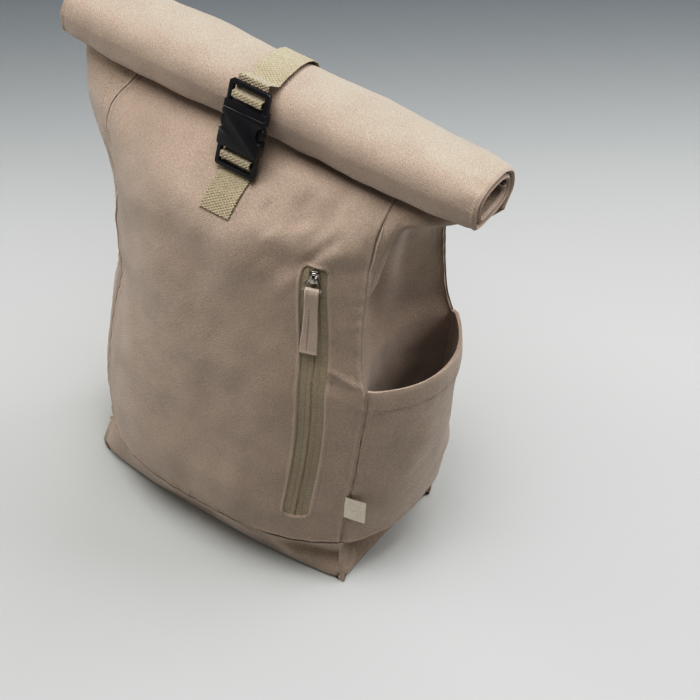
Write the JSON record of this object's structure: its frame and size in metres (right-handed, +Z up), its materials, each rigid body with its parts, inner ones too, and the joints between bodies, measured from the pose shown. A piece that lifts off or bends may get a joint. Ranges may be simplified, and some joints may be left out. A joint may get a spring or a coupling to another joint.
{
  "type": "rolltop backpack",
  "caption": "Canvas rolltop backpack with a buckled roll closure, an upright zip on the front, open side pockets and padded shoulder straps.",
  "frame": {"origin": "middle of the base, on the surface that the bag stands on", "axes": "+Z up; +X to the right of someone looking at the front; +Y to the back, where the shoulder straps are"},
  "size_m": [0.424, 0.2297, 0.4858],
  "materials": {
    "canvas": "matt sand-coloured woven canvas",
    "padded_canvas": "matt canvas over foam",
    "webbing": "cream cotton webbing",
    "zip_tape": "woven zip tape with a nylon coil",
    "zip_metal": "dark polished metal",
    "black_plastic": "black moulded plastic, satin",
    "label_tape": "blank woven cotton tape"
  },
  "bodies": {
    "root": {"base_panel": "canvas", "front_panel": "canvas", "side_panel_right": "canvas", "back_panel": "canvas", "side_panel_left": "canvas", "roll_top": "canvas", "bottle_pocket_right": "canvas", "bottle_pocket_left": "canvas", "zip_tape": "zip_tape", "zip_coil": "zip_tape", "zip_slider": "zip_metal", "zip_pull_loop": "zip_metal", "zip_pull_tab": "canvas", "closure_tab": "webbing", "buckle_socket": "black_plastic", "buckle_plug": "black_plastic", "closure_strap": "webbing", "side_label": "label_tape", "back_pad": "padded_canvas", "grab_handle": "webbing", "shoulder_strap_right": "padded_canvas", "strap_adjuster_right": "black_plastic", "adjuster_loop_right": "webbing", "strap_webbing_right": "webbing", "shoulder_strap_left": "padded_canvas", "strap_adjuster_left": "black_plastic", "adjuster_loop_left": "webbing", "strap_webbing_left": "webbing"}
  },
  "joints": []
}
